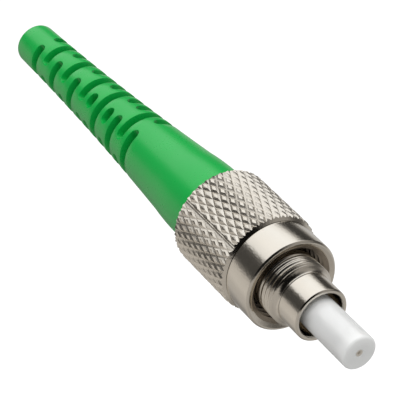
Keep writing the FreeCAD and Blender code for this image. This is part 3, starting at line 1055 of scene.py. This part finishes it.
# The tent's cloth behind and in front: degrees round the axis from +Y towards +Z, shade and warmth.
TENT_BACK = (
    (-180, 0.34, 1), (-174, 0.47, 1), (-157, 0.5, 1), (-149, 0.51, 1), (-133, 0.42, 1),
    (-117, 0.4, 1), (-109, 0.34, 1), (-101, 0.26, 1), (-85, 0.19, 1), (-60, 0.42, 0.3),
    (-20, 0.45, 0.3), (-12, 0.4, 0.5), (-5, 0.25, 1), (2, 0.05, 1), (28, 0.035, 1), (37, 0.38, 0.6),
    (45, 0.88, 0), (62, 1.0, -0.4), (100, 0.94, 0), (116, 0.84, 0), (124, 0.82, 0),
    (131, 0.13, 1), (138, 0.055, 1), (166, 0.05, 1), (176, 0.14, 1), (180, 0.34, 1))
TENT_FRONT = (
    (-180, 0.36, 1), (-140, 0.38, 1), (-95, 0.3, 1), (-54, 0.37, 0.7), (-20, 0.36, 0.7),
    (2, 0.1, 1), (14, 0.09, 1), (26, 0.26, 1), (50, 0.28, 1), (68, 0.15, 1), (80, 0.04, 1),
    (90, 0.004, 1), (164, 0.004, 1), (172, 0.08, 1), (180, 0.38, 1))
WARM = (1.03, 0.985, 0.93)     # the tint of the cloth's warmest parts
TENT_STRENGTH = 1.25
CURTAIN_START, CURTAIN_END = 0.0, 0.09     # where the back shades turn to the front ones


def shade_ramp(factor, shades):
    """A ramp through the shades, round the axis."""
    ramp = add_node(factor.id_data, "ShaderNodeValToRGB", {"Fac": factor})
    stops = ramp.color_ramp.elements
    while len(stops) < len(shades):
        stops.new(0.5)
    for stop, (degrees, shade, warmth) in zip(stops, shades):
        stop.position = degrees / 360 + 0.5
        stop.color = (*(shade * (1 + (part - 1) * warmth) for part in WARM), 1)
    return ramp.outputs["Color"]


def share_of(value, start, end):
    """How far the value is on its way from start to end, from 0 to 1."""
    return add_node(value.id_data, "ShaderNodeMapRange", {
        "Value": value, "From Min": start, "From Max": end}).outputs["Result"]


def tent_cloth():
    """The tent's lit cloth, light above and grey below, with dark strips."""
    material, tree = new_material("tent_cloth")
    tree.nodes.clear()
    place = add_node(tree, "ShaderNodeTexCoord").outputs["Object"]
    parts = add_node(tree, "ShaderNodeSeparateXYZ", {"Vector": place}).outputs
    turned = share_of(math_node(parts["Z"], "ARCTAN2", parts["Y"]), -math.pi, math.pi)
    shades = colour_mix(share_of(parts["X"], CURTAIN_START, CURTAIN_END),
                        shade_ramp(turned, TENT_BACK), shade_ramp(turned, TENT_FRONT))
    light = add_node(tree, "ShaderNodeEmission", {"Color": shades, "Strength": TENT_STRENGTH})
    add_node(tree, "ShaderNodeOutputMaterial", {"Surface": light.outputs[0]})
    return material


def seen_directly(tree, plain, seen):
    """A strength that is plain for light on surfaces, and another where it is looked at."""
    path = add_node(tree, "ShaderNodeLightPath").outputs
    looked = math_node(path["Is Camera Ray"], "MAXIMUM", math_node(
        path["Is Glossy Ray"], "MAXIMUM", path["Is Transmission Ray"]))
    return spread(looked, plain, seen)


class CONNECTOR_OT_stage(bpy.types.Operator):
    """Sets up the floor, the tent, the lights and the camera"""
    bl_idname = "connector.stage"
    bl_label = "Stage"
    bl_options = {"REGISTER", "UNDO"}

    def execute(self, context):
        stage = context.scene.connector_stage
        scene = context.scene
        world = bpy.data.worlds.new("surround")
        scene.world = world
        world.use_nodes = True
        tree = world.node_tree
        background = tree.nodes["Background"]
        background.inputs["Color"].default_value = (1, 1, 1, 1)
        tree.links.new(seen_directly(tree, stage.fill, 1.0), background.inputs["Strength"])

        clear()
        bpy.ops.object.light_add(type="AREA", location=(0, 0, LAMP_HEIGHT))
        lamp = named("soft_lamp")
        lamp.data.shape = "DISK"
        lamp.data.size = LAMP_HEIGHT
        lamp.data.energy = stage.lamp_watts
        lamp.visible_glossy = False
        lamp.visible_camera = False

        clear()
        bpy.ops.mesh.primitive_plane_add(size=4, location=(0, 0, -stage.floor_drop))
        floor = named("floor")
        settle()
        pale, tree = new_material("pale_floor")
        tree.nodes.clear()
        matte = add_node(tree, "ShaderNodeBsdfDiffuse", {"Color": (0.8, 0.8, 0.8, 1)})
        lift = add_node(tree, "ShaderNodeEmission", {
            "Color": (1, 1, 1, 1), "Strength": seen_directly(tree, 0.0, FLOOR_LIFT)})
        both = add_node(tree, "ShaderNodeAddShader", {0: matte.outputs[0], 1: lift.outputs[0]})
        add_node(tree, "ShaderNodeOutputMaterial", {"Surface": both.outputs[0]})
        floor.data.materials.append(pale)

        clear()
        bpy.ops.mesh.primitive_cylinder_add(vertices=96, radius=stage.tent_radius, depth=1.2,
                                            location=CENTRE, rotation=(0, math.pi / 2, 0))
        tent = named("cloth_tent")
        settle()
        tent.data.materials.append(tent_cloth())
        tent.visible_camera = False
        tent.visible_diffuse = False
        tent.visible_shadow = False

        camera = bpy.data.cameras.new("camera")
        camera.lens = stage.lens
        camera.sensor_width = 36.0
        camera.clip_start, camera.clip_end = 0.01, 10.0
        view = bpy.data.objects.new("camera", camera)
        scene.collection.objects.link(view)
        view.location = CAMERA_PLACE
        aim = Vector(CAMERA_AIM) - view.location
        view.rotation_euler = aim.to_track_quat("-Z", "Y").to_euler()
        scene.camera = view
        scene.view_settings.view_transform = "Standard"
        return {"FINISHED"}


# ---- panel and registration

SETTINGS = {
    "connector_boot": BootSettings,
    "connector_nut": NutSettings,
    "connector_nose": NoseSettings,
    "connector_metal": MetalSettings,
    "connector_ferrule": FerruleSettings,
    "connector_stage": StageSettings,
}
STEPS = (CONNECTOR_OT_stage, CONNECTOR_OT_boot, CONNECTOR_OT_nut, CONNECTOR_OT_nose,
         CONNECTOR_OT_ferrule, CONNECTOR_OT_cap, CONNECTOR_OT_inner)


class CONNECTOR_PT_panel(bpy.types.Panel):
    """Lists the connector's pieces and their settings"""
    bl_idname = "CONNECTOR_PT_panel"
    bl_label = "Connector"
    bl_space_type = "VIEW_3D"
    bl_region_type = "UI"
    bl_category = "Connector"

    def draw(self, context):
        for step in STEPS:
            self.layout.operator(step.bl_idname)
        for name in SETTINGS:
            box = self.layout.box()
            group = getattr(context.scene, name)
            for key in group.bl_rna.properties.keys():
                if key not in ("rna_type", "name"):
                    box.prop(group, key)


def register():
    for group in SETTINGS.values():
        bpy.utils.register_class(group)
    for name, group in SETTINGS.items():
        setattr(bpy.types.Scene, name, bpy.props.PointerProperty(type=group))
    for step in STEPS:
        bpy.utils.register_class(step)
    bpy.utils.register_class(CONNECTOR_PT_panel)


def unregister():
    bpy.utils.unregister_class(CONNECTOR_PT_panel)
    for step in reversed(STEPS):
        bpy.utils.unregister_class(step)
    for name, group in SETTINGS.items():
        delattr(bpy.types.Scene, name)
        bpy.utils.unregister_class(group)


def main():
    register()
    bpy.ops.connector.stage()
    bpy.ops.connector.boot()
    bpy.ops.connector.nut()
    bpy.ops.connector.nose()
    bpy.ops.connector.ferrule()
    bpy.ops.connector.cap()
    bpy.ops.connector.inner()


if __name__ == "__main__":
    main()
